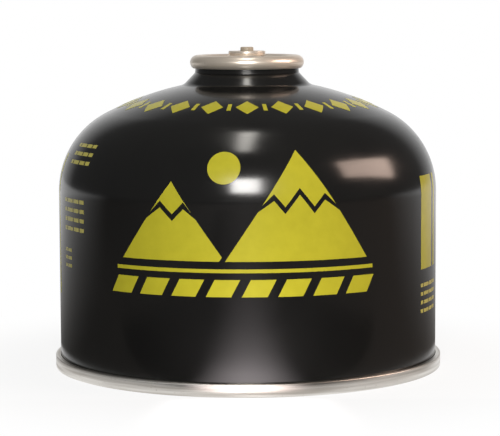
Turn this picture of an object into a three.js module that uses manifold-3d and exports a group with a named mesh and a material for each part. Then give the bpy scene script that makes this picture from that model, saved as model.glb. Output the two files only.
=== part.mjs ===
// A screw-on gas canister: a drawn steel vessel, its seamed-on bottom end, and a valve crimped in the neck.
// Millimetres, +Z up, the origin at the middle of the ring that the canister stands on.
// Outlines are half sections, [radius, height], with the material on the left of their direction.
import * as THREE from "three";
import { mergeVertices } from "three/addons/utils/BufferGeometryUtils.js";
import Module from "manifold-3d";

const wasm = await Module();
wasm.setup();

// Vessel
const BODY_RADIUS = 54;
const SHOULDER_RADIUS = 24.8;
const DOME_RADIUS = 88.5; // of the ball that the dome is part of
const NECK_FILLET_RADIUS = 3.4;
const NECK_SLOPE_DEG = 46.5;
const WAIST_RADIUS = 14.9; // the narrow place under the rolled rim
const NECK_RISE = 2.82; // of the waist over the dome, carried on to the waist's radius
const NECK_BORE_RADIUS = 12.7; // one inch across
const THROAT_CLEARANCE = 0.1; // over the crimp, where the bore widens for it
const CHAMBER_RADIUS = 9;
const CHAMBER_ROOF = 2; // below the floor of the valve cup
const CHAMBER_DEPTH = 13.2;

// Double seam of vessel and bottom end
const SHEET = 0.36;
const SEAM_GAP = 0.12; // between folded layers
const SEAM_HEIGHT = 3.6;
const SEAM_ROUND = 0.3;
const HOOK_LENGTH = 2;
const FOOT_SHEET = 0.45;

// Bottom end inside its seam
const COUNTERSINK_Z = 3.9;
const COUNTERSINK_ROUND = 1.3;
const BOTTOM_SLOPE_DEG = 19; // of the inward dome at its edge

// Valve cup
const CUP_SHEET = 0.4;
const CUP_CLEARANCE = 0.15; // cup wall to neck bore
const CURL_OUTER_RADIUS = 16.25;
const CURL_TOP_Z = 88.8; // sets the height of the canister
const CURL_RISE = 5; // over the waist
const CURL_SKIRT_DEG = -55; // where the curl's edge ends, against the level of its middle
const CUP_DEPTH = 6.4; // from the top of the curl to the floor of the well
const CUP_CORNER_RADIUS = 0.8;
const CRIMP_REACH = 0.95; // how far the expanded wall stands out under the rim
const CRIMP_FALL = 5.1; // below the top of the curl
const CRIMP_HALF_HEIGHT = 0.8;
const BOSS_RADIUS = 5.56; // over the thread, 7/16 inch with 28 threads to the inch
const BOSS_WALL = 0.9;
const BOSS_RISE = 1.15; // above the top of the curl
const BOSS_CHAMFER = 0.35;
const BOSS_ROOT_RADIUS = 0.6;
const MOUTH_RADIUS = 2.7;
const CUP_GASKET_THICKNESS = 0.5;
const CUP_GASKET_HALF_ANGLE_DEG = 62;
const GASKET_GAP = 0.05;

// Valve
const SEAL_THICKNESS = 1.6;
const SEAL_CLEARANCE = 0.05; // seal to stem
const HOUSING_CLEARANCE = 0.15; // housing to boss
const HOUSING_BORE_RADIUS = 3.3;
const HOUSING_LENGTH = 15.5;
const HOUSING_FLOOR = 1.6;
const HOUSING_SHOULDER_RADIUS = 6.2;
const HOUSING_SHOULDER_HEIGHT = 2;
const TAIL_RADIUS = 2.4;
const TAIL_LENGTH = 3;
const INLET_RADIUS = 0.9;
const STEM_RADIUS = 1.85;
const STEM_RISE = 1.12; // tip above the boss
const STEM_TRAVEL = 1.1;
const STEM_CHAMFER = 0.3;
const STEM_BORE_RADIUS = 0.8;
const PORT_RADIUS = 0.3;
const FLANGE_RADIUS = 2.9;
const FLANGE_HEIGHT = 1.4;
const SPIGOT_RADIUS = 1.45;
const SPIGOT_LENGTH = 2.2;
const SPRING_RADIUS = 2.4; // to the middle of the wire
const WIRE_RADIUS = 0.3;
const SPRING_TURNS = 6;
const END_TURNS = 0.9; // closed turns at each end
const COIL_GAP = 0.06; // between closed turns, and to the faces that the spring bears on

const SIDES = 48;
const VALVE_SIDES = 24;

const radians = THREE.MathUtils.degToRad;
const degrees = THREE.MathUtils.radToDeg;

// Sizes that follow from the ones above.
const wallInner = BODY_RADIUS - SHEET;
const chuckOuter = wallInner - SEAM_GAP;
const chuckInner = chuckOuter - SHEET;
const coverHookInner = BODY_RADIUS + SEAM_GAP;
const coverHookOuter = coverHookInner + SHEET;
const bodyHookInner = coverHookOuter + SEAM_GAP;
const bodyHookOuter = bodyHookInner + SHEET;
const seamWallInner = bodyHookOuter + SEAM_GAP;
const seamOuter = seamWallInner + SHEET;

const cupWallOuter = NECK_BORE_RADIUS - CUP_CLEARANCE;
const cupWallInner = cupWallOuter - CUP_SHEET;
const curlRadius = (CURL_OUTER_RADIUS + cupWallInner) / 2;
const curlOuterRoll = CURL_OUTER_RADIUS - curlRadius;
const curlInnerRoll = curlOuterRoll - CUP_SHEET;
const curlZ = CURL_TOP_Z - curlOuterRoll;
const cupGasketOuterRoll = curlInnerRoll - GASKET_GAP;
const cupGasketInnerRoll = cupGasketOuterRoll - CUP_GASKET_THICKNESS;
const rimRoll = cupGasketInnerRoll - GASKET_GAP;
const throatRadius = cupWallOuter + CRIMP_REACH + CUP_CLEARANCE;
const crimpZ = CURL_TOP_Z - CRIMP_FALL;
const throatZ = crimpZ + CRIMP_HALF_HEIGHT + THROAT_CLEARANCE;
const wellFloorZ = CURL_TOP_Z - CUP_DEPTH;
const cupUndersideZ = wellFloorZ - CUP_SHEET;
const chamberTopZ = cupUndersideZ - CHAMBER_ROOF;
const chamberFloorZ = chamberTopZ - CHAMBER_DEPTH;

const shoulderCentre = BODY_RADIUS - SHOULDER_RADIUS;
const neckSlope = radians(NECK_SLOPE_DEG);
const waistZ = CURL_TOP_Z - CURL_RISE;
const domeZ = waistZ - NECK_RISE - Math.sqrt(DOME_RADIUS ** 2 - WAIST_RADIUS ** 2); // the ball's middle
const domeToShoulder = DOME_RADIUS - SHOULDER_RADIUS;
const domeEdge = Math.asin(shoulderCentre / domeToShoulder); // from the axis, where the shoulder starts
const wallTopZ = domeZ + domeToShoulder * Math.cos(domeEdge); // where the wall turns into the shoulder

const bossTopZ = CURL_TOP_Z + BOSS_RISE;
const bossInner = BOSS_RADIUS - BOSS_WALL;
const sealTopZ = bossTopZ - CUP_SHEET;
const sealBottomZ = sealTopZ - SEAL_THICKNESS;
const housingRadius = bossInner - HOUSING_CLEARANCE;
const housingBottomZ = sealBottomZ - HOUSING_LENGTH;
const housingFloorZ = housingBottomZ + HOUSING_FLOOR;
const stemTipZ = bossTopZ + STEM_RISE;
const flangeTopZ = sealBottomZ - SEAL_CLEARANCE;
const flangeBottomZ = flangeTopZ - FLANGE_HEIGHT;
const portZ = sealBottomZ - PORT_RADIUS + STEM_TRAVEL;

const lacquer = new THREE.MeshStandardMaterial({ color: 0x17171a, roughness: 0.15, metalness: 0.1 });
const tinplate = new THREE.MeshStandardMaterial({ color: 0xb9b4aa, roughness: 0.3, metalness: 1 });
const cupPlate = new THREE.MeshStandardMaterial({ color: 0xc9c5bb, roughness: 0.22, metalness: 1 });
const blackRubber = new THREE.MeshStandardMaterial({ color: 0x1e1e1e, roughness: 0.8, metalness: 0 });
const greyRubber = new THREE.MeshStandardMaterial({ color: 0x6f6a62, roughness: 0.7, metalness: 0 });
const whitePlastic = new THREE.MeshStandardMaterial({ color: 0xdad7cd, roughness: 0.5, metalness: 0 });
const tanPlastic = new THREE.MeshStandardMaterial({ color: 0x9c9384, roughness: 0.45, metalness: 0 });
const springSteel = new THREE.MeshStandardMaterial({ color: 0xa8a8a4, roughness: 0.3, metalness: 1 });

// Points on a circle of a half section, from one angle to another, both included.
function arc(centreR, centreZ, radius, fromDeg, toDeg, steps) {
  const points = [];
  for (let i = 0; i <= steps; i += 1) {
    const angle = radians(fromDeg + ((toDeg - fromDeg) * i) / steps);
    points.push([centreR + radius * Math.cos(angle), centreZ + radius * Math.sin(angle)]);
  }
  return points;
}

// A turned piece: the outline swept round the Z axis. Off the axis, the outline closes on itself.
function turned(outline, sides) {
  const profile = outline.map(([r, z]) => new THREE.Vector2(Math.max(r, 0), z));
  const onAxis = profile[0].x < 1e-6;
  if (!onAxis) {
    profile.push(profile[0].clone());
  }
  const geometry = new THREE.LatheGeometry(profile, sides);
  geometry.rotateX(Math.PI / 2);
  return geometry;
}

function meshOf(name, geometry, material) {
  const mesh = new THREE.Mesh(geometry, material);
  mesh.name = name;
  return mesh;
}

function solidOf(geometry) {
  const bare = geometry.clone();
  bare.deleteAttribute("normal");
  bare.deleteAttribute("uv");
  const merged = mergeVertices(bare, 1e-4);
  return new wasm.Manifold(
    new wasm.Mesh({
      numProp: 3,
      vertProperties: merged.attributes.position.array,
      triVerts: new Uint32Array(merged.index.array),
    }),
  );
}

function geometryOf(solid) {
  const mesh = solid.getMesh();
  const geometry = new THREE.BufferGeometry();
  geometry.setAttribute("position", new THREE.BufferAttribute(mesh.vertProperties, 3));
  geometry.setIndex(new THREE.BufferAttribute(mesh.triVerts, 1));
  geometry.computeVertexNormals();
  return geometry;
}

// The pressed bottom from the axis to the top of its wall, on a face above its lower one by an offset.
const valleyRadius = chuckInner - COUNTERSINK_ROUND;
const bottomRimRadius = valleyRadius + COUNTERSINK_ROUND * Math.sin(radians(BOTTOM_SLOPE_DEG));
const bottomRimZ = COUNTERSINK_Z + COUNTERSINK_ROUND * Math.cos(radians(BOTTOM_SLOPE_DEG));
const bottomDomeRadius = bottomRimRadius / Math.sin(radians(BOTTOM_SLOPE_DEG));
const bottomDomeZ = bottomRimZ - bottomDomeRadius * Math.cos(radians(BOTTOM_SLOPE_DEG));

function bottomFace(offset) {
  const rimDeg = 90 - BOTTOM_SLOPE_DEG;
  const dome = arc(0, bottomDomeZ, bottomDomeRadius + offset, 90, rimDeg, 5);
  const bend = arc(valleyRadius, COUNTERSINK_Z, COUNTERSINK_ROUND + offset, rimDeg, 0, 3);
  return [...dome.slice(0, -1), ...bend];
}

// The dome and the neck's outside up to the waist. The fillet between them is a circle that touches the ball
// of the dome from outside and the neck's slope, so its middle lies one fillet radius off both.
function domeAndNeck() {
  const fromDomeR = WAIST_RADIUS + NECK_FILLET_RADIUS * Math.sin(neckSlope);
  const fromDomeZ = waistZ + NECK_FILLET_RADIUS * Math.cos(neckSlope) - domeZ;
  const reach = fromDomeZ * Math.sin(neckSlope) - fromDomeR * Math.cos(neckSlope);
  const touching = (DOME_RADIUS + NECK_FILLET_RADIUS) ** 2 - fromDomeR ** 2 - fromDomeZ ** 2;
  const slide = reach - Math.sqrt(reach ** 2 + touching);
  const centreR = fromDomeR + slide * Math.cos(neckSlope);
  const centreZ = domeZ + fromDomeZ - slide * Math.sin(neckSlope);
  const fromDeg = degrees(Math.atan2(centreR, centreZ - domeZ));
  const dome = arc(0, domeZ, DOME_RADIUS, 90 - degrees(domeEdge), 90 - fromDeg, 4);
  const fillet = arc(centreR, centreZ, NECK_FILLET_RADIUS, 270 - fromDeg, 270 - NECK_SLOPE_DEG, 3);
  return [...dome.slice(1, -1), ...fillet];
}

// The drawn steel vessel, sealed and full of liquid gas, so one solid down to its bottom end.
// Its wall is folded into the seam, and its neck ends in the rolled rim that carries the valve cup.
function vessel() {
  const shoulderDeg = 90 - degrees(domeEdge);
  const hookTopZ = FOOT_SHEET + SHEET + HOOK_LENGTH;
  const outline = [
    ...bottomFace(SHEET + SEAM_GAP),
    [wallInner, FOOT_SHEET],
    [bodyHookOuter, FOOT_SHEET],
    [bodyHookOuter, hookTopZ],
    [bodyHookInner, hookTopZ],
    [bodyHookInner, FOOT_SHEET + SHEET],
    [BODY_RADIUS, FOOT_SHEET + SHEET],
    ...arc(shoulderCentre, wallTopZ, SHOULDER_RADIUS, 0, shoulderDeg, 8),
    ...domeAndNeck(),
    [WAIST_RADIUS, waistZ],
    ...arc(curlRadius, curlZ, rimRoll, -60, 180, 8),
    [NECK_BORE_RADIUS, curlZ - rimRoll],
    [NECK_BORE_RADIUS, throatZ],
    [throatRadius, throatZ - (throatRadius - NECK_BORE_RADIUS) / 2],
    [throatRadius, chamberTopZ],
    [CHAMBER_RADIUS, chamberTopZ],
    [CHAMBER_RADIUS, chamberFloorZ],
    [0, chamberFloorZ],
  ];
  return meshOf("vessel", turned(outline, SIDES), lacquer);
}

// The pressed steel bottom: inward dome, wall down to the foot, and the edge folded over the vessel's hook.
function bottomEnd() {
  const foldZ = SEAM_HEIGHT - SHEET;
  const hookEndZ = FOOT_SHEET + SHEET + SEAM_GAP;
  const outline = [
    ...bottomFace(0),
    ...arc(chuckInner + SEAM_ROUND, SEAM_ROUND, SEAM_ROUND, 180, 270, 2),
    ...arc(seamOuter - SEAM_ROUND, SEAM_ROUND, SEAM_ROUND, 270, 360, 2),
    ...arc(seamOuter - SEAM_ROUND, SEAM_HEIGHT - SEAM_ROUND, SEAM_ROUND, 0, 90, 2),
    [coverHookInner, SEAM_HEIGHT],
    [coverHookInner, hookEndZ],
    [coverHookOuter, hookEndZ],
    [coverHookOuter, foldZ],
    [seamWallInner, foldZ],
    [seamWallInner, FOOT_SHEET],
    [chuckOuter, FOOT_SHEET],
    ...bottomFace(SHEET).reverse(),
  ];
  return meshOf("bottom_end", turned(outline, SIDES), tinplate);
}

// The valve cup, pressed from one sheet: curl over the rim, wall down the neck with the crimp that locks it,
// floor of the well, and the threaded boss with the mouth in its top.
function valveCup() {
  const cornerInner = CUP_CORNER_RADIUS;
  const cornerOuter = CUP_CORNER_RADIUS + CUP_SHEET;
  const cornerR = cupWallInner - cornerInner;
  const cornerZ = wellFloorZ + cornerInner;
  const outline = [
    [MOUTH_RADIUS, sealTopZ],
    [bossInner, sealTopZ],
    [bossInner, cupUndersideZ],
    ...arc(cornerR, cornerZ, cornerOuter, 270, 360, 2),
    [cupWallOuter + CRIMP_REACH, crimpZ],
    [cupWallOuter, crimpZ + CRIMP_HALF_HEIGHT],
    ...arc(curlRadius, curlZ, curlInnerRoll, 180, CURL_SKIRT_DEG, 9),
    ...arc(curlRadius, curlZ, curlOuterRoll, CURL_SKIRT_DEG, 180, 9),
    [cupWallInner, crimpZ + CRIMP_HALF_HEIGHT],
    [cupWallInner + CRIMP_REACH, crimpZ],
    ...arc(cornerR, cornerZ, cornerInner, 360, 270, 2),
    ...arc(BOSS_RADIUS + BOSS_ROOT_RADIUS, wellFloorZ + BOSS_ROOT_RADIUS, BOSS_ROOT_RADIUS, 270, 180, 2),
    [BOSS_RADIUS, bossTopZ - BOSS_CHAMFER],
    [BOSS_RADIUS - BOSS_CHAMFER, bossTopZ],
    [MOUTH_RADIUS, bossTopZ],
  ];
  return meshOf("valve_cup", turned(outline, SIDES), cupPlate);
}

// The rubber ring squeezed between the cup's curl and the vessel's rim.
function cupGasket() {
  const fromDeg = 90 - CUP_GASKET_HALF_ANGLE_DEG;
  const toDeg = 90 + CUP_GASKET_HALF_ANGLE_DEG;
  const outline = [
    ...arc(curlRadius, curlZ, cupGasketOuterRoll, fromDeg, toDeg, 4),
    ...arc(curlRadius, curlZ, cupGasketInnerRoll, toDeg, fromDeg, 4),
  ];
  return meshOf("cup_gasket", turned(outline, SIDES), greyRubber);
}

// The rubber ring under the mouth that grips the stem and covers its port while the valve is shut.
function stemSeal() {
  const bore = STEM_RADIUS + SEAL_CLEARANCE;
  const outline = [
    [bore, sealBottomZ],
    [housingRadius, sealBottomZ],
    [housingRadius, sealTopZ],
    [bore, sealTopZ],
  ];
  return meshOf("stem_seal", turned(outline, VALVE_SIDES), blackRubber);
}

// The moulded housing in the boss: it backs the seal, bears on the cup from below and holds the spring.
function valveHousing() {
  const outline = [
    [INLET_RADIUS, housingBottomZ - TAIL_LENGTH],
    [TAIL_RADIUS, housingBottomZ - TAIL_LENGTH],
    [TAIL_RADIUS, housingBottomZ],
    [housingRadius, housingBottomZ],
    [housingRadius, cupUndersideZ - HOUSING_SHOULDER_HEIGHT],
    [HOUSING_SHOULDER_RADIUS, cupUndersideZ - HOUSING_SHOULDER_HEIGHT],
    [HOUSING_SHOULDER_RADIUS, cupUndersideZ],
    [housingRadius, cupUndersideZ],
    [housingRadius, sealBottomZ],
    [HOUSING_BORE_RADIUS, sealBottomZ],
    [HOUSING_BORE_RADIUS, housingFloorZ],
    [INLET_RADIUS, housingFloorZ],
  ];
  return meshOf("valve_housing", turned(outline, VALVE_SIDES), whitePlastic);
}

// The moulded stem: tip with its bore and cross port, flange under the seal, and spigot in the spring.
function valveStem() {
  const outline = [
    [0, flangeBottomZ - SPIGOT_LENGTH],
    [SPIGOT_RADIUS, flangeBottomZ - SPIGOT_LENGTH],
    [SPIGOT_RADIUS, flangeBottomZ],
    [FLANGE_RADIUS, flangeBottomZ],
    [FLANGE_RADIUS, flangeTopZ],
    [STEM_RADIUS, flangeTopZ],
    [STEM_RADIUS, stemTipZ - STEM_CHAMFER],
    [STEM_RADIUS - STEM_CHAMFER, stemTipZ],
    [STEM_BORE_RADIUS, stemTipZ],
    [STEM_BORE_RADIUS, portZ - PORT_RADIUS],
    [0, portZ - PORT_RADIUS],
  ];
  const port = new THREE.CylinderGeometry(PORT_RADIUS, PORT_RADIUS, 2 * FLANGE_RADIUS, 8);
  port.rotateZ(Math.PI / 2);
  port.translate(0, 0, portZ);
  const drilled = solidOf(turned(outline, VALVE_SIDES)).subtract(solidOf(port));
  return meshOf("valve_stem", geometryOf(drilled), tanPlastic);
}

// The middle line of the spring's wire: closed turns at both ends and open ones between.
class SpringLine extends THREE.Curve {
  getPoint(t, target = new THREE.Vector3()) {
    const lowZ = housingFloorZ + WIRE_RADIUS + COIL_GAP;
    const highZ = flangeBottomZ - WIRE_RADIUS - COIL_GAP;
    const closedPitch = 2 * WIRE_RADIUS + COIL_GAP;
    const endRise = END_TURNS * closedPitch;
    const openPitch = (highZ - lowZ - 2 * endRise) / (SPRING_TURNS - 2 * END_TURNS);
    const turn = t * SPRING_TURNS;
    const turnsLeft = SPRING_TURNS - turn;
    const angle = 2 * Math.PI * turn;
    let z = lowZ + endRise + (turn - END_TURNS) * openPitch;
    if (turn < END_TURNS) {
      z = lowZ + turn * closedPitch;
    }
    if (turnsLeft < END_TURNS) {
      z = highZ - turnsLeft * closedPitch;
    }
    return target.set(SPRING_RADIUS * Math.cos(angle), SPRING_RADIUS * Math.sin(angle), z);
  }
}

// The steel spring that lifts the stem and keeps the valve shut.
function valveSpring() {
  const section = new THREE.Shape();
  const corners = 6;
  for (let i = 0; i < corners; i += 1) {
    const angle = (2 * Math.PI * i) / corners;
    const x = WIRE_RADIUS * Math.cos(angle);
    const y = WIRE_RADIUS * Math.sin(angle);
    if (i === 0) {
      section.moveTo(x, y);
    } else {
      section.lineTo(x, y);
    }
  }
  section.closePath();
  const wire = new THREE.ExtrudeGeometry(section, {
    steps: Math.round(SPRING_TURNS * 12),
    extrudePath: new SpringLine(),
    bevelEnabled: false,
  });
  return meshOf("valve_spring", wire, springSteel);
}

const valve = new THREE.Group();
valve.add(valveCup(), cupGasket(), stemSeal(), valveHousing(), valveSpring(), valveStem());

const canister = new THREE.Group();
canister.add(vessel(), bottomEnd(), valve);

export default canister;
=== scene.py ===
import bmesh
import bpy
import math
from mathutils import Matrix


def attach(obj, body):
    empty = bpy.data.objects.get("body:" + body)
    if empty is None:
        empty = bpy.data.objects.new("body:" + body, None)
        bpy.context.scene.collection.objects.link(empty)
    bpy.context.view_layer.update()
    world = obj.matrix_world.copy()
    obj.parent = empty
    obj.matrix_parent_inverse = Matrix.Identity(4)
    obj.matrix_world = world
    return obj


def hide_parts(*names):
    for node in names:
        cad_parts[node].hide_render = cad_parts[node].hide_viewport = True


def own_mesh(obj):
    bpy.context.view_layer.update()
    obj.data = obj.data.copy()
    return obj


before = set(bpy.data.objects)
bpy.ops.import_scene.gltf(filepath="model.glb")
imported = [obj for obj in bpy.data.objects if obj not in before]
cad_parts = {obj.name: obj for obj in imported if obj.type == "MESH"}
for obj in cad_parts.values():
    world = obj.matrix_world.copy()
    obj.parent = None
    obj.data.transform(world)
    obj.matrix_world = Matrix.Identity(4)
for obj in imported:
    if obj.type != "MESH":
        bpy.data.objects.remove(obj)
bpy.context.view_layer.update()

# Lacquered vessel
# The body, shoulder, dome and neck are one drawn steel cup, roller coated in black polyester before drawing.
# The edge at the foot is folded into the seam, and the neck ends in a rolled rim under the valve cup.
MM = 0.001
BODY_RADIUS = 54
SHOULDER_RADIUS = 24.8
DOME_RADIUS = 88.5
NECK_FILLET_RADIUS = 3.4
NECK_SLOPE_DEG = 46.5
NECK_RISE = 2.82
WAIST_RADIUS = 14.9
WAIST_Z = 83.8
NECK_BORE_RADIUS = 12.7
THROAT_Z = 84.6
CHAMBER_RADIUS = 9
CHAMBER_FLOOR_Z = 66.8
CHAMBER_TOP_Z = 80
SHEET = 0.36
SEAM_GAP = 0.12
FOOT_SHEET = 0.45
HOOK_LENGTH = 2
wall_inner = BODY_RADIUS - SHEET
chuck_inner = wall_inner - SEAM_GAP - SHEET
cover_hook_outer = BODY_RADIUS + SEAM_GAP + SHEET
body_hook_outer = cover_hook_outer + SEAM_GAP + SHEET
seam_outer = body_hook_outer + SEAM_GAP + SHEET
shoulder_r = BODY_RADIUS - SHOULDER_RADIUS
dome_to_shoulder = DOME_RADIUS - SHOULDER_RADIUS
dome_z = WAIST_Z - NECK_RISE - math.sqrt(DOME_RADIUS ** 2 - WAIST_RADIUS ** 2)
shoulder_turn = math.acos(shoulder_r / dome_to_shoulder)
wall_top_z = dome_z + dome_to_shoulder * math.sin(shoulder_turn)


def arc(centre_r, centre_z, radius, start, stop, steps):
    """Points of a half section on a circle between two angles in degrees, both included."""
    points = []
    for i in range(steps + 1):
        angle = math.radians(start + (stop - start) * i / steps)
        points.append((centre_r + radius * math.cos(angle), centre_z + radius * math.sin(angle)))
    return points


def turn(name, outline, steps):
    """Draws a half section in millimetres, point by point, and spins it round the Z axis."""
    bpy.ops.object.select_all(action="DESELECT")
    bpy.ops.mesh.primitive_plane_add(size=MM, location=(0, 0, 0))
    piece = bpy.context.object
    piece.name = name
    bpy.ops.object.mode_set(mode="EDIT")
    bpy.ops.mesh.select_all(action="SELECT")
    bpy.ops.mesh.merge(type="CENTER")
    bpy.ops.transform.translate(value=(outline[0][0] * MM, 0, outline[0][1] * MM))
    for (r_from, z_from), (r_to, z_to) in zip(outline, outline[1:]):
        step = ((r_to - r_from) * MM, 0, (z_to - z_from) * MM)
        bpy.ops.mesh.extrude_region_move(TRANSFORM_OT_translate={"value": step})
    bpy.ops.mesh.select_all(action="SELECT")
    bpy.ops.mesh.spin(steps=steps, angle=2 * math.pi, center=(0, 0, 0), axis=(0, 0, 1))
    bpy.ops.mesh.select_all(action="SELECT")
    bpy.ops.mesh.remove_doubles(threshold=0.002 * MM)
    bpy.ops.mesh.normals_make_consistent(inside=False)
    bpy.ops.object.mode_set(mode="OBJECT")
    bpy.ops.object.shade_smooth_by_angle(angle=math.radians(32))
    return piece


def linear(hex_code):
    """An sRGB hex colour as linear red, green, blue and alpha."""
    channels = [int(hex_code[i:i + 2], 16) / 255 for i in (0, 2, 4)]
    return [c / 12.92 if c <= 0.04045 else ((c + 0.055) / 1.055) ** 2.4 for c in channels] + [1]


def add_node(tree, kind, inputs, **settings):
    """Adds a node, sets its properties, and sets or links each input that is named."""
    node = tree.nodes.new(kind)
    for key, value in settings.items():
        setattr(node, key, value)
    for socket, value in inputs.items():
        if isinstance(value, bpy.types.NodeSocket):
            tree.links.new(value, node.inputs[socket])
        else:
            node.inputs[socket].default_value = value
    return node


def empty_material(name):
    """A material with an empty node tree."""
    material = bpy.data.materials.new(name)
    material.use_nodes = True
    material.node_tree.nodes.clear()
    return material


def dress(piece, material, body):
    """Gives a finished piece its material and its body."""
    piece.data.materials.clear()
    piece.data.materials.append(material)
    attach(piece, body)


COUNTERSINK_Z = 3.9
COUNTERSINK_ROUND = 1.3
BOTTOM_SLOPE_DEG = 19
valley_r = chuck_inner - COUNTERSINK_ROUND
bottom_rim_r = valley_r + COUNTERSINK_ROUND * math.sin(math.radians(BOTTOM_SLOPE_DEG))
bottom_rim_z = COUNTERSINK_Z + COUNTERSINK_ROUND * math.cos(math.radians(BOTTOM_SLOPE_DEG))
bottom_dome_radius = bottom_rim_r / math.sin(math.radians(BOTTOM_SLOPE_DEG))
bottom_dome_z = bottom_rim_z - bottom_dome_radius * math.cos(math.radians(BOTTOM_SLOPE_DEG))


def bottom_face(offset):
    """The pressed bottom from the axis to the top of its wall, on a face above its lower one by an offset."""
    rim = 90 - BOTTOM_SLOPE_DEG
    dome = arc(0, bottom_dome_z, bottom_dome_radius + offset, 90, rim, 24)
    return dome[:-1] + arc(valley_r, COUNTERSINK_Z, COUNTERSINK_ROUND + offset, rim, 0, 8)


CURL_OUTER_RADIUS = 16.25
CURL_TOP_Z = 88.8
CUP_SHEET = 0.4
CUP_CLEARANCE = 0.15
CUP_GASKET_THICKNESS = 0.5
GASKET_GAP = 0.05
CRIMP_REACH = 0.95
cup_wall_outer = NECK_BORE_RADIUS - CUP_CLEARANCE
cup_wall_inner = cup_wall_outer - CUP_SHEET
curl_r = (CURL_OUTER_RADIUS + cup_wall_inner) / 2
curl_outer_roll = CURL_OUTER_RADIUS - curl_r
curl_inner_roll = curl_outer_roll - CUP_SHEET
curl_z = CURL_TOP_Z - curl_outer_roll
rim_roll = curl_inner_roll - 2 * GASKET_GAP - CUP_GASKET_THICKNESS
throat_r = cup_wall_outer + CRIMP_REACH + CUP_CLEARANCE

# The fillet between dome and neck touches the ball of the dome from outside and the neck's slope.
neck_slope = math.radians(NECK_SLOPE_DEG)
from_dome_r = WAIST_RADIUS + NECK_FILLET_RADIUS * math.sin(neck_slope)
from_dome_z = WAIST_Z + NECK_FILLET_RADIUS * math.cos(neck_slope) - dome_z
reach = from_dome_z * math.sin(neck_slope) - from_dome_r * math.cos(neck_slope)
touching = (DOME_RADIUS + NECK_FILLET_RADIUS) ** 2 - from_dome_r ** 2 - from_dome_z ** 2
slide = reach - math.sqrt(reach ** 2 + touching)
fillet_r = from_dome_r + slide * math.cos(neck_slope)
fillet_z = dome_z + from_dome_z - slide * math.sin(neck_slope)
shoulder_deg = math.degrees(shoulder_turn)
fillet_deg = math.degrees(math.atan2(fillet_z - dome_z, fillet_r))

vessel_outline = (
    bottom_face(SHEET + SEAM_GAP)
    + [
        (wall_inner, FOOT_SHEET),
        (body_hook_outer, FOOT_SHEET),
        (body_hook_outer, FOOT_SHEET + SHEET + HOOK_LENGTH),
        (body_hook_outer - SHEET, FOOT_SHEET + SHEET + HOOK_LENGTH),
        (body_hook_outer - SHEET, FOOT_SHEET + SHEET),
        (BODY_RADIUS, FOOT_SHEET + SHEET),
    ]
    + [(BODY_RADIUS, z) for z in range(3, int(wall_top_z), 5)]
    + arc(shoulder_r, wall_top_z, SHOULDER_RADIUS, 0, shoulder_deg, 40)
    + arc(0, dome_z, DOME_RADIUS, shoulder_deg, fillet_deg, 12)[1:-1]
    + arc(fillet_r, fillet_z, NECK_FILLET_RADIUS, 180 + fillet_deg, 270 - NECK_SLOPE_DEG, 10)
    + [(WAIST_RADIUS, WAIST_Z)]
    + arc(curl_r, curl_z, rim_roll, -60, 180, 24)
    + [
        (NECK_BORE_RADIUS, curl_z - rim_roll),
        (NECK_BORE_RADIUS, THROAT_Z),
        (throat_r, THROAT_Z - (throat_r - NECK_BORE_RADIUS) / 2),
        (throat_r, CHAMBER_TOP_Z),
        (CHAMBER_RADIUS, CHAMBER_TOP_Z),
        (CHAMBER_RADIUS, CHAMBER_FLOOR_Z),
        (0, CHAMBER_FLOOR_Z),
    ]
)
lacquered_body = turn("lacquered_body", vessel_outline, 192)

# Black polyester lacquer over steel: deep gloss with the faint ripple of a roller coat, and light rub marks
# from handling that run round the body and dull the gloss a little.
lacquer = empty_material("black_polyester_lacquer_gloss")
tree = lacquer.node_tree
place = add_node(tree, "ShaderNodeTexCoord", {})
ripple = add_node(tree, "ShaderNodeTexNoise", {"Vector": place.outputs["Object"], "Scale": 420, "Detail": 1})
fog = add_node(tree, "ShaderNodeTexNoise", {"Vector": place.outputs["Object"], "Scale": 55, "Detail": 3})
stretched = add_node(tree, "ShaderNodeMapping", {"Vector": place.outputs["Object"], "Scale": (90, 90, 2600)})
rub = add_node(tree, "ShaderNodeTexNoise", {"Vector": stretched.outputs[0], "Scale": 1, "Detail": 2})
rub_marks = add_node(tree, "ShaderNodeMapRange", {
    "Value": rub.outputs[0], "From Min": 0.6, "From Max": 0.78, "To Min": 0, "To Max": 0.07})
dulling = add_node(tree, "ShaderNodeMapRange", {
    "Value": fog.outputs[0], "From Min": 0.35, "From Max": 0.7, "To Min": 0.14, "To Max": 0.2})
roughness = add_node(tree, "ShaderNodeMath", {
    0: dulling.outputs[0], 1: rub_marks.outputs[0]}, operation="ADD")
skin = add_node(tree, "ShaderNodeBump", {
    "Strength": 0.12, "Distance": 0.02 * MM, "Height": ripple.outputs[0]})
black = add_node(tree, "ShaderNodeMix", {
    "Factor": fog.outputs[0], "A": linear("141414"), "B": linear("191918")}, data_type="RGBA")
shader = add_node(tree, "ShaderNodeBsdfPrincipled", {
    "Base Color": black.outputs["Result"], "Roughness": roughness.outputs[0], "IOR": 1.5,
    "Normal": skin.outputs[0]})
add_node(tree, "ShaderNodeOutputMaterial", {"Surface": shader.outputs[0]})
dress(lacquered_body, lacquer, "canister")
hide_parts("vessel")

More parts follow.
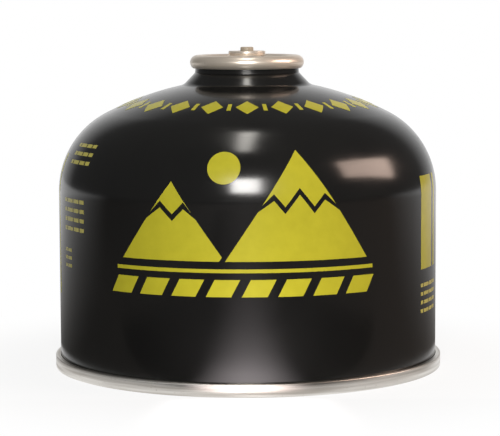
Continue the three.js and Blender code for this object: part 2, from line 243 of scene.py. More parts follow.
# Bottom end
# Pressed tinplate with a dome turned inwards against the pressure. Its edge is rolled over the body's hook
# into the double seam that the canister stands on. Bare metal, rubbed bright in lines by the rollers.
SEAM_HEIGHT = 3.6
SEAM_ROUND = 0.3
hook_end_z = FOOT_SHEET + SHEET + SEAM_GAP
bottom_outline = (
    bottom_face(0)
    + arc(chuck_inner + SEAM_ROUND, SEAM_ROUND, SEAM_ROUND, 180, 270, 6)
    + arc(seam_outer - SEAM_ROUND, SEAM_ROUND, SEAM_ROUND, 270, 360, 6)
    + arc(seam_outer - SEAM_ROUND, SEAM_HEIGHT - SEAM_ROUND, SEAM_ROUND, 0, 90, 6)
    + [
        (BODY_RADIUS + SEAM_GAP, SEAM_HEIGHT),
        (BODY_RADIUS + SEAM_GAP, hook_end_z),
        (cover_hook_outer, hook_end_z),
        (cover_hook_outer, SEAM_HEIGHT - SHEET),
        (seam_outer - SHEET, SEAM_HEIGHT - SHEET),
        (seam_outer - SHEET, FOOT_SHEET),
        (wall_inner - SEAM_GAP, FOOT_SHEET),
    ]
    + bottom_face(SHEET)[::-1]
)
seamed_bottom = turn("seamed_bottom", bottom_outline, 192)

# Rolled tinplate: soft grey metal with fine lines that follow the rollers round the seam, darker where they
# rubbed the tin thin, faint on the rest of the sheet, and a few dull specks.
tinplate = empty_material("rolled_tinplate_bare")
tree = tinplate.node_tree
place = add_node(tree, "ShaderNodeTexCoord", {})
apart = add_node(tree, "ShaderNodeSeparateXYZ", {"Vector": place.outputs["Object"]})
flat = add_node(tree, "ShaderNodeCombineXYZ", {"X": apart.outputs["X"], "Y": apart.outputs["Y"]})
radius = add_node(tree, "ShaderNodeVectorMath", {0: flat.outputs[0]}, operation="LENGTH")
along = add_node(tree, "ShaderNodeMath", {0: radius.outputs["Value"], 1: apart.outputs["Z"]}, operation="ADD")
lined = add_node(tree, "ShaderNodeCombineXYZ", {
    "X": apart.outputs["X"], "Y": apart.outputs["Y"], "Z": along.outputs[0]})
fine = add_node(tree, "ShaderNodeMapping", {"Vector": lined.outputs[0], "Scale": (45, 45, 4500)})
lines = add_node(tree, "ShaderNodeTexNoise", {"Vector": fine.outputs[0], "Scale": 1, "Detail": 3})
broad = add_node(tree, "ShaderNodeMapping", {"Vector": lined.outputs[0], "Scale": (28, 28, 900)})
bands = add_node(tree, "ShaderNodeTexNoise", {"Vector": broad.outputs[0], "Scale": 1, "Detail": 2})
specks = add_node(tree, "ShaderNodeTexNoise", {"Vector": place.outputs["Object"], "Scale": 1300, "Detail": 2})
speckled = add_node(tree, "ShaderNodeMapRange", {
    "Value": specks.outputs[0], "From Min": 0.66, "From Max": 0.76, "To Min": 0, "To Max": 0.3})
seamed = add_node(tree, "ShaderNodeMapRange", {
    "Value": radius.outputs["Value"], "From Min": 0.051, "From Max": 0.0535, "To Min": 0.12, "To Max": 1})
worn = add_node(tree, "ShaderNodeMapRange", {
    "Value": bands.outputs[0], "From Min": 0.34, "From Max": 0.66, "To Min": 0, "To Max": seamed.outputs[0]})
relief = add_node(tree, "ShaderNodeMath", {0: lines.outputs[0], 1: seamed.outputs[0]}, operation="MULTIPLY")
tin = add_node(tree, "ShaderNodeMix", {
    "Factor": worn.outputs[0], "A": linear("b2aca4"), "B": linear("e4e1db")}, data_type="RGBA")
spotted = add_node(tree, "ShaderNodeMix", {
    "Factor": speckled.outputs[0], "A": tin.outputs["Result"], "B": linear("8d8273")}, data_type="RGBA")
dull = add_node(tree, "ShaderNodeMapRange", {
    "Value": lines.outputs[0], "From Min": 0.3, "From Max": 0.7, "To Min": 0.26, "To Max": 0.44})
grooves = add_node(tree, "ShaderNodeBump", {
    "Strength": 0.3, "Distance": 0.02 * MM, "Height": relief.outputs[0]})
shader = add_node(tree, "ShaderNodeBsdfPrincipled", {
    "Base Color": spotted.outputs["Result"], "Metallic": 1, "Roughness": dull.outputs[0],
    "Normal": grooves.outputs[0]})
tin.name = "tin"
dull.name = "dull"
shader.name = "shader"
add_node(tree, "ShaderNodeOutputMaterial", {"Surface": shader.outputs[0]})
dress(seamed_bottom, tinplate, "canister")
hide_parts("bottom_end")

# Cup gasket
# A nitrile rubber ring, cut from a tube and squeezed between the cup's curl and the vessel's rim.
# It is hidden, and keeps its solid.
nitrile = empty_material("nitrile_rubber_matt")
tree = nitrile.node_tree
place = add_node(tree, "ShaderNodeTexCoord", {})
grain = add_node(tree, "ShaderNodeTexNoise", {"Vector": place.outputs["Object"], "Scale": 2500, "Detail": 3})
tone = add_node(tree, "ShaderNodeMix", {
    "Factor": grain.outputs[0], "A": linear("5d5952"), "B": linear("77726a")}, data_type="RGBA")
pores = add_node(tree, "ShaderNodeBump", {"Strength": 0.3, "Distance": 0.02 * MM, "Height": grain.outputs[0]})
shader = add_node(tree, "ShaderNodeBsdfPrincipled", {
    "Base Color": tone.outputs["Result"], "Roughness": 0.75, "Normal": pores.outputs[0]})
add_node(tree, "ShaderNodeOutputMaterial", {"Surface": shader.outputs[0]})
gasket_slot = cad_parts["cup_gasket"].material_slots[0]
gasket_slot.link = "OBJECT"
gasket_slot.material = nitrile

# Valve cup
# One pressing of tinplate: the curl that grips the rim, the wall expanded under it by eight jaws, the well,
# and the boss with its rolled thread, 7/16 inch across with 28 threads to the inch.
CURL_SKIRT_DEG = -55
CUP_CORNER_RADIUS = 0.8
WELL_FLOOR_Z = 82.4
CRIMP_Z = 83.7
CRIMP_HALF_HEIGHT = 0.8
BOSS_RADIUS = 5.56
BOSS_ROOT_R = 5.02
BOSS_LAND_R = 5.25
BOSS_INNER_R = 4.66
BOSS_TOP_Z = 89.95
BOSS_LAND_Z = 89.25
BOSS_ROOT_ROUND = 0.6
BOSS_ROUND = 0.25
MOUTH_RADIUS = 2.7
MOUTH_ROUND = 0.15
WELL_BEAD_RISE = 0.12
cup_corner_r = cup_wall_inner - CUP_CORNER_RADIUS
cup_outline = (
    [(MOUTH_RADIUS, BOSS_TOP_Z - CUP_SHEET), (BOSS_INNER_R, BOSS_TOP_Z - CUP_SHEET)]
    + [(BOSS_INNER_R, WELL_FLOOR_Z - CUP_SHEET)]
    + arc(cup_corner_r, WELL_FLOOR_Z + CUP_CORNER_RADIUS, CUP_CORNER_RADIUS + CUP_SHEET, 270, 340, 8)
    + [(cup_wall_outer + CRIMP_REACH * f, CRIMP_Z + CRIMP_HALF_HEIGHT * h)
       for f, h in ((0.75, -0.4), (1, 0), (0.75, 0.4), (0.2, 0.8))]
    + arc(curl_r, curl_z, curl_inner_roll, 180, CURL_SKIRT_DEG, 32)
    + arc(curl_r, curl_z, curl_outer_roll, CURL_SKIRT_DEG, 180, 46)
    + [(cup_wall_inner + CRIMP_REACH * f, CRIMP_Z + CRIMP_HALF_HEIGHT * h)
       for f, h in ((0.2, 0.8), (0.75, 0.4), (1, 0), (0.75, -0.4))]
    + arc(cup_corner_r, WELL_FLOOR_Z + CUP_CORNER_RADIUS, CUP_CORNER_RADIUS, 340, 270, 8)
    + [(9.2, WELL_FLOOR_Z), (8.9, WELL_FLOOR_Z + WELL_BEAD_RISE)]
    + [(8.4, WELL_FLOOR_Z + WELL_BEAD_RISE), (8.1, WELL_FLOOR_Z)]
    + arc(BOSS_ROOT_R + BOSS_ROOT_ROUND, WELL_FLOOR_Z + BOSS_ROOT_ROUND, BOSS_ROOT_ROUND, 270, 180, 6)
    + [(BOSS_ROOT_R, BOSS_LAND_Z - BOSS_ROUND), (BOSS_LAND_R, BOSS_LAND_Z)]
    + arc(BOSS_LAND_R - BOSS_ROUND, BOSS_TOP_Z - BOSS_ROUND, BOSS_ROUND, 0, 90, 5)
    + arc(MOUTH_RADIUS + MOUTH_ROUND, BOSS_TOP_Z - MOUTH_ROUND, MOUTH_ROUND, 90, 180, 4)
    + [(MOUTH_RADIUS, BOSS_TOP_Z - CUP_SHEET)]
)
crimped_cup = turn("crimped_cup", cup_outline, 192)

# Between the jaws of the crimping tool the wall stays back, which leaves eight shallow ribs in the well.
JAWS = 8
RIB_DEPTH = 0.5
RIB_HALF_WIDTH = 0.09  # as a share of the step from jaw to jaw
RIB_INSIDE_R = 11  # nothing nearer the axis than this is pulled
for vertex in crimped_cup.data.vertices:
    reach = math.hypot(vertex.co.x, vertex.co.y)
    near = 1 - abs(vertex.co.z / MM - CRIMP_Z) / (CRIMP_HALF_HEIGHT * 1.2)
    if near > 0 and reach > RIB_INSIDE_R * MM:
        swing = math.atan2(vertex.co.y, vertex.co.x) * JAWS / (2 * math.pi)
        rib = max(0, 1 - abs(swing - round(swing)) / RIB_HALF_WIDTH)
        pull = 1 - RIB_DEPTH * MM * near * rib / reach
        vertex.co.x *= pull
        vertex.co.y *= pull

# The thread is one ridge, screwed up the boss and sunk a little into it.
THREAD_PITCH = 0.907
THREAD_TURNS = 6
THREAD_START_Z = 83.5
RIDGE_HALF_FOOT = 0.36
RIDGE_HALF_CREST = 0.06
bpy.ops.object.select_all(action="DESELECT")
bpy.ops.mesh.primitive_plane_add(size=MM, location=(0, 0, 0))
thread = bpy.context.object
thread.name = "boss_thread"
bpy.ops.object.mode_set(mode="EDIT")
bpy.ops.mesh.delete(type="ONLY_FACE")
bpy.ops.object.mode_set(mode="OBJECT")
ridge_foot_r = BOSS_ROOT_R - 0.06
ridge_section = (
    (ridge_foot_r, -RIDGE_HALF_FOOT),
    (ridge_foot_r, RIDGE_HALF_FOOT),
    (BOSS_RADIUS, -RIDGE_HALF_CREST),
    (BOSS_RADIUS, RIDGE_HALF_CREST),
)
for vertex, (r, z) in zip(thread.data.vertices, ridge_section):
    vertex.co = (r * MM, 0, (THREAD_START_Z + z) * MM)
screw = thread.modifiers.new("screw", "SCREW")
screw.axis = "Z"
screw.angle = 2 * math.pi
screw.screw_offset = THREAD_PITCH * MM
screw.iterations = THREAD_TURNS
screw.steps = 72
screw.render_steps = 72
screw.use_merge_vertices = True
screw.merge_threshold = 0.001 * MM
bpy.ops.object.modifier_apply(modifier="screw")
bpy.ops.object.mode_set(mode="EDIT")
bpy.ops.mesh.select_all(action="SELECT")
bpy.ops.mesh.fill_holes(sides=8)
bpy.ops.mesh.normals_make_consistent(inside=False)
bpy.ops.object.mode_set(mode="OBJECT")
bpy.ops.object.shade_smooth_by_angle(angle=math.radians(25))
crimped_cup.select_set(True)
bpy.context.view_layer.objects.active = crimped_cup
bpy.ops.object.join()

# Pressed tinplate: paler than the seam and matt all over, as the clear varnish on the sheet leaves it.
bright_tin = tinplate.copy()
bright_tin.name = "pressed_tinplate_varnished"
bright = bright_tin.node_tree.nodes
bright["tin"].inputs["A"].default_value = linear("e6dbcd")
bright["tin"].inputs["B"].default_value = linear("f6efe4")
bright["dull"].inputs["To Min"].default_value = 0.3
bright["dull"].inputs["To Max"].default_value = 0.4
bright["shader"].inputs["Metallic"].default_value = 0.62
dress(crimped_cup, bright_tin, "canister")
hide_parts("valve_cup")

# Stem seal
# A black nitrile washer under the boss's mouth. Its inner edge grips the stem, and its top shows in the
# mouth.
SEAL_THICKNESS = 1.6
SEAL_INNER_R = 1.9
SEAL_OUTER_R = 4.51
SEAL_ROUND = 0.12
SEAL_TOP_Z = BOSS_TOP_Z - CUP_SHEET
SEAL_BOTTOM_Z = SEAL_TOP_Z - SEAL_THICKNESS
seal_outline = (
    arc(SEAL_INNER_R + SEAL_ROUND, SEAL_BOTTOM_Z + SEAL_ROUND, SEAL_ROUND, 180, 270, 4)
    + [(SEAL_OUTER_R, SEAL_BOTTOM_Z), (SEAL_OUTER_R, SEAL_TOP_Z)]
    + arc(SEAL_INNER_R + SEAL_ROUND, SEAL_TOP_Z - SEAL_ROUND, SEAL_ROUND, 90, 180, 4)
    + [(SEAL_INNER_R, SEAL_BOTTOM_Z + SEAL_ROUND)]
)
mouth_seal = turn("mouth_seal", seal_outline, 96)
black_nitrile = nitrile.copy()
black_nitrile.name = "black_nitrile_rubber_matt"
for node in black_nitrile.node_tree.nodes:
    if node.type == "MIX":
        node.inputs["A"].default_value = linear("171717")
        node.inputs["B"].default_value = linear("242424")
dress(mouth_seal, black_nitrile, "canister")
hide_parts("stem_seal")

# Valve housing
# Moulded acetal, pushed into the boss from below: it backs the seal and holds the spring.
# It is hidden in the neck, and keeps its solid.
acetal = empty_material("white_acetal_moulded")
tree = acetal.node_tree
place = add_node(tree, "ShaderNodeTexCoord", {})
flow = add_node(tree, "ShaderNodeTexNoise", {"Vector": place.outputs["Object"], "Scale": 400, "Detail": 2})
tone = add_node(tree, "ShaderNodeMix", {
    "Factor": flow.outputs[0], "A": linear("d3cfc3"), "B": linear("e2dfd6")}, data_type="RGBA")
moulded = add_node(tree, "ShaderNodeBump", {
    "Strength": 0.15, "Distance": 0.02 * MM, "Height": flow.outputs[0]})
shader = add_node(tree, "ShaderNodeBsdfPrincipled", {
    "Base Color": tone.outputs["Result"], "Roughness": 0.42, "IOR": 1.48, "Normal": moulded.outputs[0]})
add_node(tree, "ShaderNodeOutputMaterial", {"Surface": shader.outputs[0]})
housing_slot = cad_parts["valve_housing"].material_slots[0]
housing_slot.link = "OBJECT"
housing_slot.material = acetal

# Valve stem
# Moulded acetal in a grey beige. Its tip stands out of the mouth, with the bore that the gas leaves through;
# the cross port is covered by the seal until a stove presses the stem down.
STEM_RADIUS = 1.85
STEM_TIP_Z = 91.07
STEM_TIP_ROUND = 0.3
STEM_BORE_R = 0.8
STEM_BORE_ROUND = 0.15
FLANGE_RADIUS = 2.9
FLANGE_HEIGHT = 1.4
FLANGE_TOP_Z = SEAL_BOTTOM_Z - 0.05
FLANGE_BOTTOM_Z = FLANGE_TOP_Z - FLANGE_HEIGHT
SPIGOT_RADIUS = 1.45
SPIGOT_END_Z = FLANGE_BOTTOM_Z - 2.2
PORT_Z = 88.75
PORT_R = 0.3
stem_outline = (
    [(0, SPIGOT_END_Z), (SPIGOT_RADIUS - 0.25, SPIGOT_END_Z), (SPIGOT_RADIUS, SPIGOT_END_Z + 0.25)]
    + [(SPIGOT_RADIUS, FLANGE_BOTTOM_Z), (FLANGE_RADIUS - 0.15, FLANGE_BOTTOM_Z)]
    + [(FLANGE_RADIUS, FLANGE_BOTTOM_Z + 0.15), (FLANGE_RADIUS, FLANGE_TOP_Z - 0.12)]
    + [(FLANGE_RADIUS - 0.12, FLANGE_TOP_Z), (STEM_RADIUS, FLANGE_TOP_Z)]
    + arc(STEM_RADIUS - STEM_TIP_ROUND, STEM_TIP_Z - STEM_TIP_ROUND, STEM_TIP_ROUND, 0, 90, 6)
    + arc(STEM_BORE_R + STEM_BORE_ROUND, STEM_TIP_Z - STEM_BORE_ROUND, STEM_BORE_ROUND, 90, 180, 4)
    + [(STEM_BORE_R, PORT_Z - PORT_R), (0, PORT_Z - PORT_R)]
)
stem_tip = turn("stem_tip", stem_outline, 96)
bpy.ops.mesh.primitive_cylinder_add(
    vertices=24, radius=PORT_R * MM, depth=8 * MM, location=(0, 0, PORT_Z * MM), rotation=(0, math.pi / 2, 0))
drill = bpy.context.object
bpy.ops.object.select_all(action="DESELECT")
stem_tip.select_set(True)
bpy.context.view_layer.objects.active = stem_tip
cut = stem_tip.modifiers.new("port", "BOOLEAN")
cut.operation = "DIFFERENCE"
cut.solver = "EXACT"
cut.object = drill
bpy.ops.object.modifier_apply(modifier="port")
bpy.data.objects.remove(drill)
beige_acetal = acetal.copy()
beige_acetal.name = "beige_acetal_moulded"
for node in beige_acetal.node_tree.nodes:
    if node.type == "MIX":
        node.inputs["A"].default_value = linear("9c8f7d")
        node.inputs["B"].default_value = linear("b3a795")
dress(stem_tip, beige_acetal, "stem")
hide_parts("valve_stem")

# Valve spring
# Bright steel wire, wound in six turns with both ends closed, and squeezed as the stem goes down.
WIRE_R = 0.3
COIL_R = 2.4
COILS = 6
END_COILS = 0.9
COIL_GAP = 0.06
COIL_STEPS = 48
CLOSED_PITCH = 2 * WIRE_R + COIL_GAP
SPRING_FLOOR_Z = 74.05
spring_low = SPRING_FLOOR_Z + WIRE_R + COIL_GAP
spring_high = FLANGE_BOTTOM_Z - WIRE_R - COIL_GAP
open_pitch = (spring_high - spring_low - 2 * END_COILS * CLOSED_PITCH) / (COILS - 2 * END_COILS)
wire = bpy.data.curves.new("return_spring", "CURVE")
wire.dimensions = "3D"
wire.bevel_depth = WIRE_R * MM
wire.bevel_resolution = 4
wire.use_fill_caps = True
line = wire.splines.new("POLY")
line.points.add(COILS * COIL_STEPS)
for i, point in enumerate(line.points):
    turn_at = i / COIL_STEPS
    height = spring_low + END_COILS * CLOSED_PITCH + (turn_at - END_COILS) * open_pitch
    if turn_at < END_COILS:
        height = spring_low + turn_at * CLOSED_PITCH
    if COILS - turn_at < END_COILS:
        height = spring_high - (COILS - turn_at) * CLOSED_PITCH
    angle = 2 * math.pi * turn_at
    point.co = (COIL_R * MM * math.cos(angle), COIL_R * MM * math.sin(angle), height * MM, 1)
wound = bpy.data.objects.new("return_spring", wire)
bpy.context.collection.objects.link(wound)
bpy.ops.object.select_all(action="DESELECT")
wound.select_set(True)
bpy.context.view_layer.objects.active = wound
bpy.ops.object.convert(target="MESH")
return_spring = bpy.context.object
bpy.ops.object.shade_smooth_by_angle(angle=math.radians(40))

# Drawn spring wire: bright steel with the fine lines of the drawing die.
spring_wire = empty_material("drawn_spring_steel")
tree = spring_wire.node_tree
place = add_node(tree, "ShaderNodeTexCoord", {})
drawn = add_node(tree, "ShaderNodeTexNoise", {"Vector": place.outputs["Object"], "Scale": 3000, "Detail": 3})
dull = add_node(tree, "ShaderNodeMapRange", {
    "Value": drawn.outputs[0], "From Min": 0.3, "From Max": 0.7, "To Min": 0.2, "To Max": 0.4})
shader = add_node(tree, "ShaderNodeBsdfPrincipled", {
    "Base Color": linear("c4c3be"), "Metallic": 1, "Roughness": dull.outputs[0]})
add_node(tree, "ShaderNodeOutputMaterial", {"Surface": shader.outputs[0]})
dress(return_spring, spring_wire, "canister")
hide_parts("valve_spring")
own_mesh(return_spring)

# Print on the body
# Two yellow inks printed on the lacquer. Each shape is laid out flat, in millimetres round the body from the
# front and up along the wall, then wrapped onto the wall, shoulder and dome, and given the ink's thickness.
INK_THICKNESS = 0.04
INK_LIFT = 0.01
WRAP_STEP = 1.5
shoulder_end = wall_top_z + SHOULDER_RADIUS * shoulder_turn


def wall_point(around, up, lift):
    """The place on the body of a point of the flat layout, lifted off the lacquer by a distance."""
    if up > shoulder_end:
        lean = shoulder_turn + (up - shoulder_end) / DOME_RADIUS
        r = (DOME_RADIUS + lift) * math.cos(lean)
        z = dome_z + (DOME_RADIUS + lift) * math.sin(lean)
    else:
        lean = max(up - wall_top_z, 0) / SHOULDER_RADIUS
        r = shoulder_r + (SHOULDER_RADIUS + lift) * math.cos(lean)
        z = min(up, wall_top_z) + (SHOULDER_RADIUS + lift) * math.sin(lean)
    angle = around / BODY_RADIUS
    return r * MM * math.sin(angle), -r * MM * math.cos(angle), z * MM


def print_piece(name, shapes):
    """Makes one mesh of flat outlines, cuts it fine enough to bend, and wraps it round the body."""
    bpy.ops.object.select_all(action="DESELECT")
    bpy.ops.mesh.primitive_circle_add(vertices=len(shapes[0]), fill_type="NGON", location=(0, 0, 0))
    piece = bpy.context.object
    piece.name = name
    bpy.ops.object.mode_set(mode="EDIT")
    for corners in shapes[1:]:
        bpy.ops.mesh.primitive_circle_add(vertices=len(corners), fill_type="NGON", location=(0, 0, 0))
    bpy.ops.object.mode_set(mode="OBJECT")
    laid = [corner for corners in shapes for corner in corners]
    for vertex, (around, up) in zip(piece.data.vertices, laid):
        vertex.co = (around, up, 0)
    bpy.ops.object.mode_set(mode="EDIT")
    low = min(around for around, up in laid)
    high = max(around for around, up in laid)
    top = max(up for around, up in laid)
    for i in range(1, int((high - low) / WRAP_STEP)):
        bpy.ops.mesh.select_all(action="SELECT")
        bpy.ops.mesh.bisect(plane_co=(low + i * WRAP_STEP, 0, 0), plane_no=(1, 0, 0))
    for i in range(1, int((top - wall_top_z) / WRAP_STEP) + 1):
        bpy.ops.mesh.select_all(action="SELECT")
        bpy.ops.mesh.bisect(plane_co=(0, wall_top_z + i * WRAP_STEP, 0), plane_no=(0, 1, 0))
    bpy.ops.mesh.select_all(action="SELECT")
    bpy.ops.mesh.normals_make_consistent(inside=False)
    bpy.ops.object.mode_set(mode="OBJECT")
    for vertex in piece.data.vertices:
        vertex.co = wall_point(vertex.co.x, vertex.co.y, INK_LIFT)
    bpy.ops.object.mode_set(mode="EDIT")
    faces = bmesh.from_edit_mesh(piece.data)
    for face in faces.faces:
        outward = face.calc_center_median()
        outward.z = max(outward.z - wall_top_z * MM, 0)
        if face.normal.dot(outward) < 0:
            face.normal_flip()
    bmesh.update_edit_mesh(piece.data)
    bpy.ops.object.mode_set(mode="OBJECT")
    ink = piece.modifiers.new("ink", "SOLIDIFY")
    ink.thickness = INK_THICKNESS * MM
    ink.offset = 1
    bpy.ops.object.modifier_apply(modifier="ink")
    bpy.ops.object.shade_smooth_by_angle(angle=math.radians(30))
    return piece


def bar(left, low, width, height, slant=0):
    """A printed bar, upright or slanted to the right."""
    right = left + width
    top = low + height
    return [(left, low), (right, low), (right + slant, top), (left + slant, top)]


def lines_of_bars(left, top, width, rows, height, pitch):
    """Rows of broken bars that stand for small print, each row cut at its own places."""
    bars = []
    for row in range(rows):
        at = left
        count = row
        while at < left + width - 1:
            length = min(1.6 + 2.3 * ((count * 7 + row * 5) % 4) / 3, left + width - at)
            bars.append(bar(at, top - row * pitch - height, length, height))
            at += length + 0.7
            count += 1
    return bars


def peaks(middle):
    """Two peaks with snow caps and a sun between them, over a slanted band."""
    far_slope = [(-36, 36), (-7.6, 36), (-6.83, 37.16), (-13.86, 47)]
    far_slope += [(-17.3, 49.7), (-20.5, 46.5), (-24, 50), (-28.14, 47)]
    far_cap = [(-26.86, 48.8), (-24, 51.8), (-20.5, 48.3), (-17.3, 51.5), (-15.14, 48.8), (-21, 57)]
    near_slope = [(-6, 36), (34, 36), (25.33, 49), (21, 52), (18, 48.5)]
    near_slope += [(14, 53.5), (10, 48.5), (7, 52), (2.67, 49)]
    near_cap = [(3.87, 50.8), (7, 53.8), (10, 50.3), (14, 55.3), (18, 50.3)]
    near_cap += [(21, 53.8), (24.13, 50.8), (14, 66)]
    sun = arc(-6.5, 61, 4.6, 0, 348, 29)
    shapes = [far_slope, far_cap, near_slope, near_cap, sun, bar(-38, 33, 74, 1)]
    shapes += [bar(-40 + 9.6 * i, 26.6, 6.8, 4.6, 2.4) for i in range(8)]
    return [[(around + middle, up) for around, up in shape] for shape in shapes]


BACK = math.pi * BODY_RADIUS
bold_shapes = peaks(0) + peaks(BACK)
bold_shapes += [bar(59, 30, 9, 26), bar(70, 30, 2, 26), bar(-76, 22, 2, 40)]
DOME_MARKS = 22
mark_step = 2 * math.pi * BODY_RADIUS / DOME_MARKS
for mark in range(DOME_MARKS):
    at = mark * mark_step
    bold_shapes.append([(at - 5, 85), (at, 81), (at + 5, 85), (at, 89)])
    bold_shapes.append(bar(at + mark_step / 2 - 0.9, 83, 1.8, 4))
bold_print = print_piece("bold_print", bold_shapes)

small_shapes = lines_of_bars(-66, 66, 13, 3, 1.1, 2.6)
small_shapes += lines_of_bars(-66, 50, 14, 4, 1.1, 2.6)
small_shapes += lines_of_bars(-66, 36, 5, 3, 0.9, 2.2)
small_shapes += lines_of_bars(59, 26, 13, 4, 1, 2.4)
small_shapes += lines_of_bars(84, 60, 34, 14, 1.1, 2.5)
small_shapes += lines_of_bars(-120, 60, 34, 14, 1.1, 2.5)
small_print = print_piece("small_print", small_shapes)

# Screen ink in a greenish yellow: even and a little softer in gloss than the lacquer, thin enough in places
# for the black to show through as a slight mottle.
yellow_ink = empty_material("yellow_screen_ink")
tree = yellow_ink.node_tree
place = add_node(tree, "ShaderNodeTexCoord", {})
mottle = add_node(tree, "ShaderNodeTexNoise", {"Vector": place.outputs["Object"], "Scale": 350, "Detail": 4})
mix = add_node(tree, "ShaderNodeMix", {
    "Factor": mottle.outputs[0], "A": linear("a9a329"), "B": linear("b9b330")}, data_type="RGBA")
film = add_node(tree, "ShaderNodeBump", {"Strength": 0.1, "Distance": 0.02 * MM, "Height": mottle.outputs[0]})
shader = add_node(tree, "ShaderNodeBsdfPrincipled", {
    "Base Color": mix.outputs["Result"], "Roughness": 0.24, "IOR": 1.4, "Normal": film.outputs[0]})
add_node(tree, "ShaderNodeOutputMaterial", {"Surface": shader.outputs[0]})
dress(bold_print, yellow_ink, "canister")
olive_ink = yellow_ink.copy()
olive_ink.name = "olive_screen_ink"
for node in olive_ink.node_tree.nodes:
    if node.type == "MIX":
        node.inputs["A"].default_value = linear("b0a74e")
        node.inputs["B"].default_value = linear("c2ba60")
dress(small_print, olive_ink, "canister")

# Floor
# A plain paper sheet that the canister stands on. The camera sees it white, with the soft shadow at the foot
# running out into the background. Gloss and glass show it white behind the canister, and its true grey in the
# dim half of the room before the canister. A narrow ring close to the foot is painted glow: it shines white
# to gloss and glass and is painted paler than the rest of the sheet, so that the seam mirrors a painted
# bright band.
FLOOR_SIZE = 6
SHADOW_END = 0.12  # from the canister's axis, where the camera sees pure white
bpy.ops.object.select_all(action="DESELECT")
bpy.ops.mesh.primitive_plane_add(size=FLOOR_SIZE, location=(0, 0, 0))
table_top = bpy.context.object
table_top.name = "table_top"
paper = empty_material("white_table_paper")
tree = paper.node_tree
path = add_node(tree, "ShaderNodeLightPath", {})
place = add_node(tree, "ShaderNodeTexCoord", {})
away = add_node(tree, "ShaderNodeVectorMath", {0: place.outputs["Object"]}, operation="LENGTH")
fade = add_node(tree, "ShaderNodeMapRange", {
    "Value": away.outputs["Value"], "From Min": 0.055, "From Max": SHADOW_END, "To Min": 0.85, "To Max": 1},
    interpolation_type="SMOOTHSTEP")
apart = add_node(tree, "ShaderNodeSeparateXYZ", {"Vector": place.outputs["Object"]})
behind = add_node(tree, "ShaderNodeMapRange", {
    "Value": apart.outputs["Y"], "From Min": 0, "From Max": 0.5, "To Min": 0, "To Max": 1})
mirrored = add_node(tree, "ShaderNodeMath", {
    0: path.outputs["Is Glossy Ray"], 1: path.outputs["Is Transmission Ray"]}, operation="MAXIMUM")
# Painted glow: a ring round the foot that shines white in gloss and glass and is painted pale in the sheet,
# to brighten the seam.
foot_glow_ring = add_node(tree, "ShaderNodeMapRange", {
    "Value": away.outputs["Value"], "From Min": 0.064, "From Max": 0.073, "To Min": 1, "To Max": 0})
shown = add_node(tree, "ShaderNodeMath", {0: behind.outputs[0], 1: foot_glow_ring.outputs[0]}, operation="MAXIMUM")
mirrored = add_node(tree, "ShaderNodeMath", {
    0: mirrored.outputs[0], 1: shown.outputs[0]}, operation="MULTIPLY")
direct = add_node(tree, "ShaderNodeMath", {
    0: path.outputs["Is Camera Ray"], 1: fade.outputs[0]}, operation="MULTIPLY")
seen = add_node(tree, "ShaderNodeMath", {0: direct.outputs[0], 1: mirrored.outputs[0]}, operation="MAXIMUM")
pale = add_node(tree, "ShaderNodeMath", {
    0: foot_glow_ring.outputs[0], 1: path.outputs["Is Camera Ray"]}, operation="MAXIMUM")
sheet = add_node(tree, "ShaderNodeMix", {
    "Factor": pale.outputs[0], "A": linear("5c5a58"), "B": linear("f4f4f4")}, data_type="RGBA")
matt = add_node(tree, "ShaderNodeBsdfPrincipled", {"Base Color": sheet.outputs["Result"], "Roughness": 0.9})
white = add_node(tree, "ShaderNodeEmission", {"Strength": 1})
blend = add_node(tree, "ShaderNodeMixShader", {0: seen.outputs[0], 1: matt.outputs[0], 2: white.outputs[0]})
add_node(tree, "ShaderNodeOutputMaterial", {"Surface": blend.outputs[0]})
table_top.data.materials.append(paper)

# Glowing card
# A card that lies on the table before the canister and glows, lighting its foot from below, so that the
# lacquer, the seam and the ring mirror a painted beam. It reflects nothing: its glow is a beam painted on it
# that starts at the foot and dims on its way to the camera. The camera doesn't see the card, and it casts no
# shadow.
BEAM_SOURCE_Y = 0.036  # the beam's sides run out from here
BEAM_SPREAD = 0.27  # half width over length
BEAM_START = 0.03  # nearer the wall than this it gets no brighter
BEAM_STRENGTH = 0.042
BEAM_FALL = -1.4
bpy.ops.mesh.primitive_plane_add(size=1, location=(0, -0.295, 0.001))
glow_card = bpy.context.object
glow_card.name = "glowing_beam_card"
bpy.ops.transform.resize(value=(0.3, 0.475, 1))
bpy.ops.object.transform_apply(location=True, rotation=True, scale=True)
beam_glow = empty_material("painted_beam_glow")
tree = beam_glow.node_tree
place = add_node(tree, "ShaderNodeTexCoord", {})
apart = add_node(tree, "ShaderNodeSeparateXYZ", {"Vector": place.outputs["Object"]})
away = add_node(tree, "ShaderNodeMath", {0: apart.outputs["Y"], 1: BEAM_SOURCE_Y}, operation="SUBTRACT")
aside = add_node(tree, "ShaderNodeMath", {0: apart.outputs["X"], 1: away.outputs[0]}, operation="DIVIDE")
aside = add_node(tree, "ShaderNodeMath", {0: aside.outputs[0]}, operation="ABSOLUTE")
beam = add_node(tree, "ShaderNodeMapRange", {
    "Value": aside.outputs[0], "From Min": 0, "From Max": BEAM_SPREAD, "To Min": 1, "To Max": 0},
    interpolation_type="SMOOTHSTEP")
ahead = add_node(tree, "ShaderNodeMath", {0: -BODY_RADIUS * MM, 1: apart.outputs["Y"]}, operation="SUBTRACT")
ahead = add_node(tree, "ShaderNodeMath", {0: ahead.outputs[0], 1: BEAM_START}, operation="MAXIMUM")
dimmed = add_node(tree, "ShaderNodeMath", {0: ahead.outputs[0], 1: BEAM_FALL}, operation="POWER")
strength = add_node(tree, "ShaderNodeMath", {0: dimmed.outputs[0], 1: beam.outputs[0]}, operation="MULTIPLY")
strength = add_node(tree, "ShaderNodeMath", {
    0: strength.outputs[0], 1: BEAM_STRENGTH}, operation="MULTIPLY")
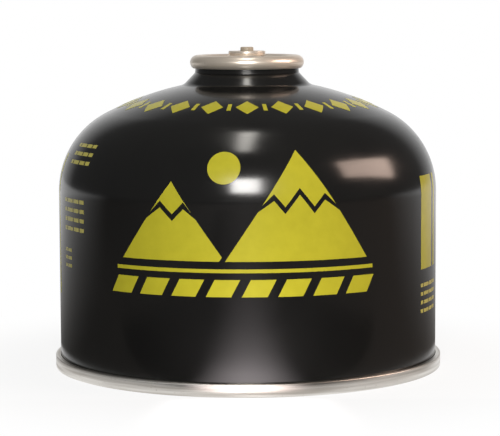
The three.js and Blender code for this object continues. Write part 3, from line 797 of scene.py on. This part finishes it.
# Painted glow: the card's emission is a beam of light painted on it, strongest at the foot and fading out to
# the sides.
shader = add_node(tree, "ShaderNodeEmission", {"Color": linear("fff4f6"), "Strength": strength.outputs[0]})
add_node(tree, "ShaderNodeOutputMaterial", {"Surface": shader.outputs[0]})
glow_card.data.materials.append(beam_glow)
glow_card.visible_camera = False
glow_card.visible_shadow = False

# Studio
# A white background, seen white by the camera, and by gloss and glass where they point at the back. The room
# on the camera's side is dim, with soft boxes in front, overhead and at the right.
studio = bpy.data.worlds.new("white_studio")
bpy.context.scene.world = studio
studio.use_nodes = True
tree = studio.node_tree
tree.nodes.clear()
direction = add_node(tree, "ShaderNodeTexCoord", {})
aim = add_node(tree, "ShaderNodeSeparateXYZ", {"Vector": direction.outputs["Generated"]})
glow = add_node(tree, "ShaderNodeMapRange", {
    "Value": aim.outputs["Y"], "From Min": 0.68, "From Max": 0.96, "To Min": 0.1, "To Max": 0.62})
white = add_node(tree, "ShaderNodeMapRange", {
    "Value": aim.outputs["Y"], "From Min": 0.68, "From Max": 1, "To Min": 0.1, "To Max": 1})
path = add_node(tree, "ShaderNodeLightPath", {})
mirrored = add_node(tree, "ShaderNodeMath", {
    0: path.outputs["Is Glossy Ray"], 1: path.outputs["Is Transmission Ray"]}, operation="MAXIMUM")
lit = add_node(tree, "ShaderNodeMix", {
    "Factor": mirrored.outputs[0], "A": glow.outputs[0], "B": white.outputs[0]})
seen = add_node(tree, "ShaderNodeMix", {
    "Factor": path.outputs["Is Camera Ray"], "A": lit.outputs[0], "B": 1.0})
sky = add_node(tree, "ShaderNodeBackground", {"Color": (1, 1, 1, 1), "Strength": seen.outputs[0]})
add_node(tree, "ShaderNodeOutputWorld", {"Surface": sky.outputs[0]})


def soft_box(name, azimuth, elevation, roll, distance, width, height, brightness, colour):
    """An area light aimed at the canister. Azimuth is from the camera's side, to the right."""
    bpy.ops.object.light_add(type="AREA")
    lamp = bpy.context.object
    lamp.name = name
    lamp.data.shape = "RECTANGLE"
    lamp.data.size = width
    lamp.data.size_y = height
    lamp.data.energy = brightness * math.pi * width * height
    lamp.data.color = colour
    swung = Matrix.Rotation(math.radians(azimuth), 4, "Z")
    aimed = swung @ Matrix.Rotation(math.radians(90 - elevation), 4, "X")
    stand = Matrix.Translation((0, 0, 0.05)) @ aimed @ Matrix.Translation((0, 0, distance))
    lamp.matrix_world = stand @ Matrix.Rotation(math.radians(roll), 4, "Z")
    lamp.visible_camera = False
    return lamp


soft_box("front_box", -1, 20.5, 0, 1.2, 0.34, 0.36, 28, (1, 0.98, 0.95))
soft_box("overhead_strip", -4, 80, 0, 1.1, 0.11, 0.6, 12, (1, 0.97, 0.9))
soft_box("right_box", 84, 27, -18, 1.1, 0.72, 0.34, 8.5, (1, 0.76, 0.63))

# Camera
# A little higher than the neck and looking slightly down at the body, from 0.6 m with a long lens.
CAMERA_DISTANCE = 0.6
CAMERA_HEIGHT = 0.105
CAMERA_PITCH_DEG = 6
camera_data = bpy.data.cameras.new("camera")
camera_data.sensor_width = 36
camera_data.lens = 150.83
camera = bpy.data.objects.new("camera", camera_data)
bpy.context.collection.objects.link(camera)
pitch = Matrix.Rotation(math.radians(90 - CAMERA_PITCH_DEG), 4, "X")
tilt = Matrix.Rotation(math.radians(-0.234), 4, "Z")
yaw = Matrix.Rotation(math.radians(-0.066), 4, "Z")
camera.matrix_world = Matrix.Translation((0, -CAMERA_DISTANCE, CAMERA_HEIGHT)) @ yaw @ pitch @ tilt
bpy.context.scene.camera = camera
bpy.context.scene.view_settings.view_transform = "Standard"
